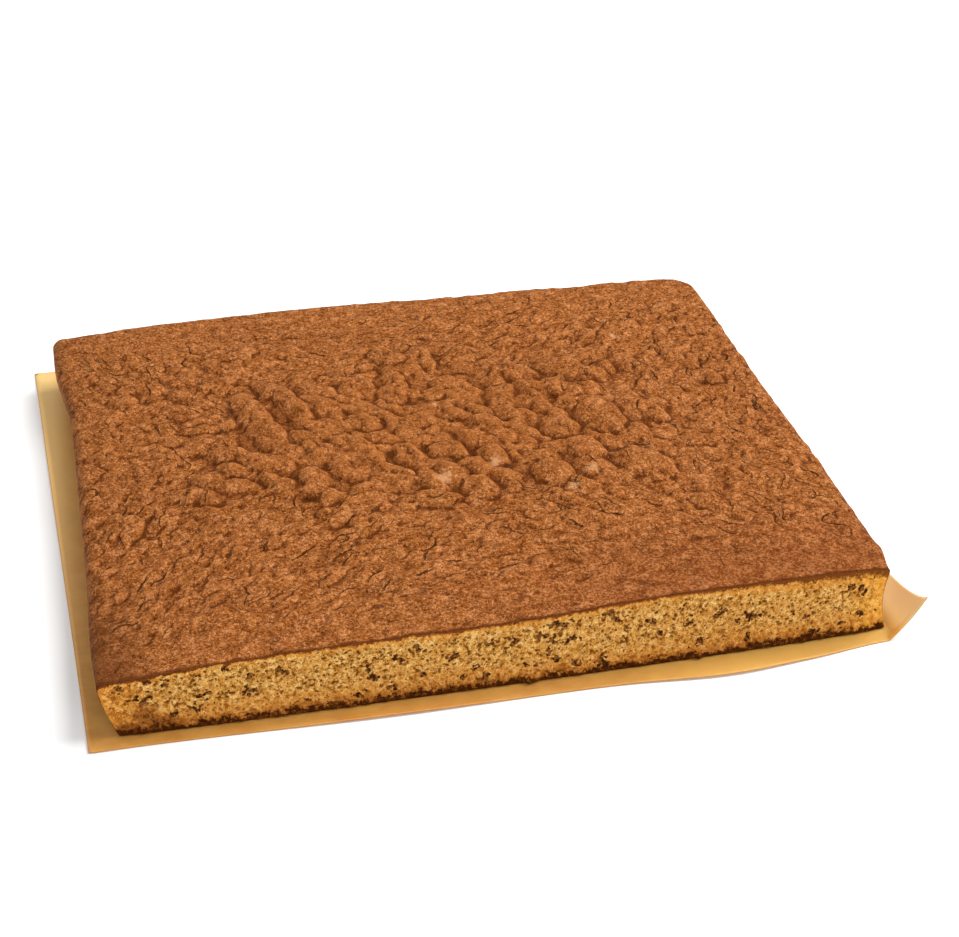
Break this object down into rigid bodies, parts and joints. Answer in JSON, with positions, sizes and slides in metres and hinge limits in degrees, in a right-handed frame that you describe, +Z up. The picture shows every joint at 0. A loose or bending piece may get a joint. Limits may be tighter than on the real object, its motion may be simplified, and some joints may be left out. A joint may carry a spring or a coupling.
{
  "type": "carrot sheet cake",
  "caption": "Flat rectangular carrot sheet cake with a blistered brown crust and a straight cut front, lying on its sheet of baking paper.",
  "frame": {"origin": "on the surface the paper lies on, under the middle of the cake", "axes": "+X to the right along the cut front, the long side; +Y away from the cut front; +Z up"},
  "size_m": [0.4372, 0.3765, 0.0456],
  "materials": {
    "cake_crust": "matt, finely grained baked crust with a faint sheen on its blisters",
    "cake_crumb": "matt, open sponge crumb with fine pores and dark specks of ground nut",
    "baking_paper": "smooth tan greaseproof paper with a faint sheen, lightly waved"
  },
  "bodies": {
    "root": {"cake": "cake_crust", "baking_paper": "baking_paper"}
  },
  "joints": []
}
